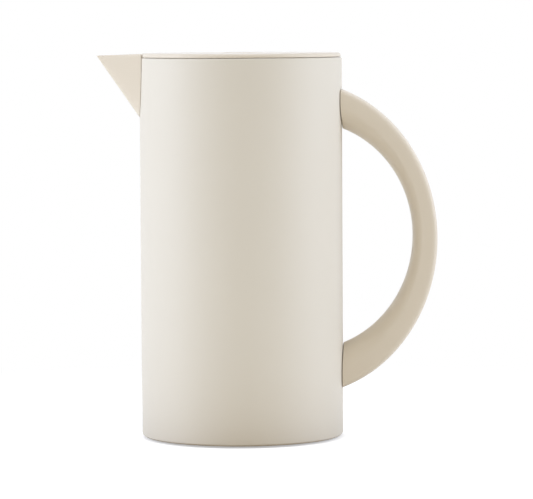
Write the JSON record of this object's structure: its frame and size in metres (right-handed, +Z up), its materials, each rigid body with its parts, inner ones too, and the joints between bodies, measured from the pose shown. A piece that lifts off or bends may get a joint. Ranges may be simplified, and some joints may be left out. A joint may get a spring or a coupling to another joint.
{
  "type": "vacuum jug",
  "caption": "Cylindrical vacuum jug with a pointed beak spout, a crescent side handle and a flat lid with a flush push button over a sprung valve.",
  "frame": {"origin": "on the jug's axis, in the plane of the surface that it stands on", "axes": "+Z up along the body's axis; +X towards the handle, so the spout points along -X; +Y completes a right-handed frame"},
  "size_m": [0.1946, 0.116, 0.221],
  "materials": {
    "cream_paint": "matte powder coat",
    "cream_plastic": "fine satin moulded",
    "inner_plastic": "satin moulded",
    "base_plastic": "satin moulded",
    "grey_rubber": "matte",
    "silicone": "satin",
    "silvered_glass": "silvered inside the walls",
    "steel": "plain"
  },
  "bodies": {
    "jug_body": {"outer_casing": "cream_paint", "spout": "cream_plastic", "pour_collar": "cream_plastic", "handle": "cream_plastic", "handle_bracket_upper": "steel", "handle_bracket_lower": "steel", "handle_screw_1": "steel", "handle_screw_2": "steel", "handle_screw_3": "steel", "handle_screw_4": "steel", "flask": "silvered_glass", "flask_tip": "silvered_glass", "flask_spacer_1": "silicone", "flask_spacer_2": "silicone", "flask_spacer_3": "silicone", "neck_gasket": "silicone", "flask_cushion": "grey_rubber", "base_ring": "inner_plastic", "base_cap": "base_plastic", "base_pad": "grey_rubber"},
    "stopper_seal": {"stopper_gasket": "silicone"},
    "stopper": {"stopper_body": "inner_plastic", "button_well": "inner_plastic", "lid_disc": "cream_plastic", "stem_seal": "silicone", "return_spring": "steel"},
    "push_valve": {"push_button": "cream_plastic", "valve_stem": "steel", "valve_disc": "inner_plastic", "valve_seal": "silicone"}
  },
  "joints": [
    {"name": "stopper_lift", "type": "slide", "parent": "jug_body", "child": "stopper_seal", "axis": [0, 0, 1], "range_m": [0, 0.1]},
    {"name": "stopper_turn", "type": "hinge", "parent": "stopper_seal", "child": "stopper", "pos_m": [0, 0, 0.2188], "axis": [0, 0, 1], "range_deg": [0, 90]},
    {"name": "button_press", "type": "slide", "parent": "stopper", "child": "push_valve", "axis": [0, 0, -1], "range_m": [0, 0.005], "stiffness_N_per_m": 900, "springref_m": -0.004, "deforming": ["return_spring"]}
  ]
}
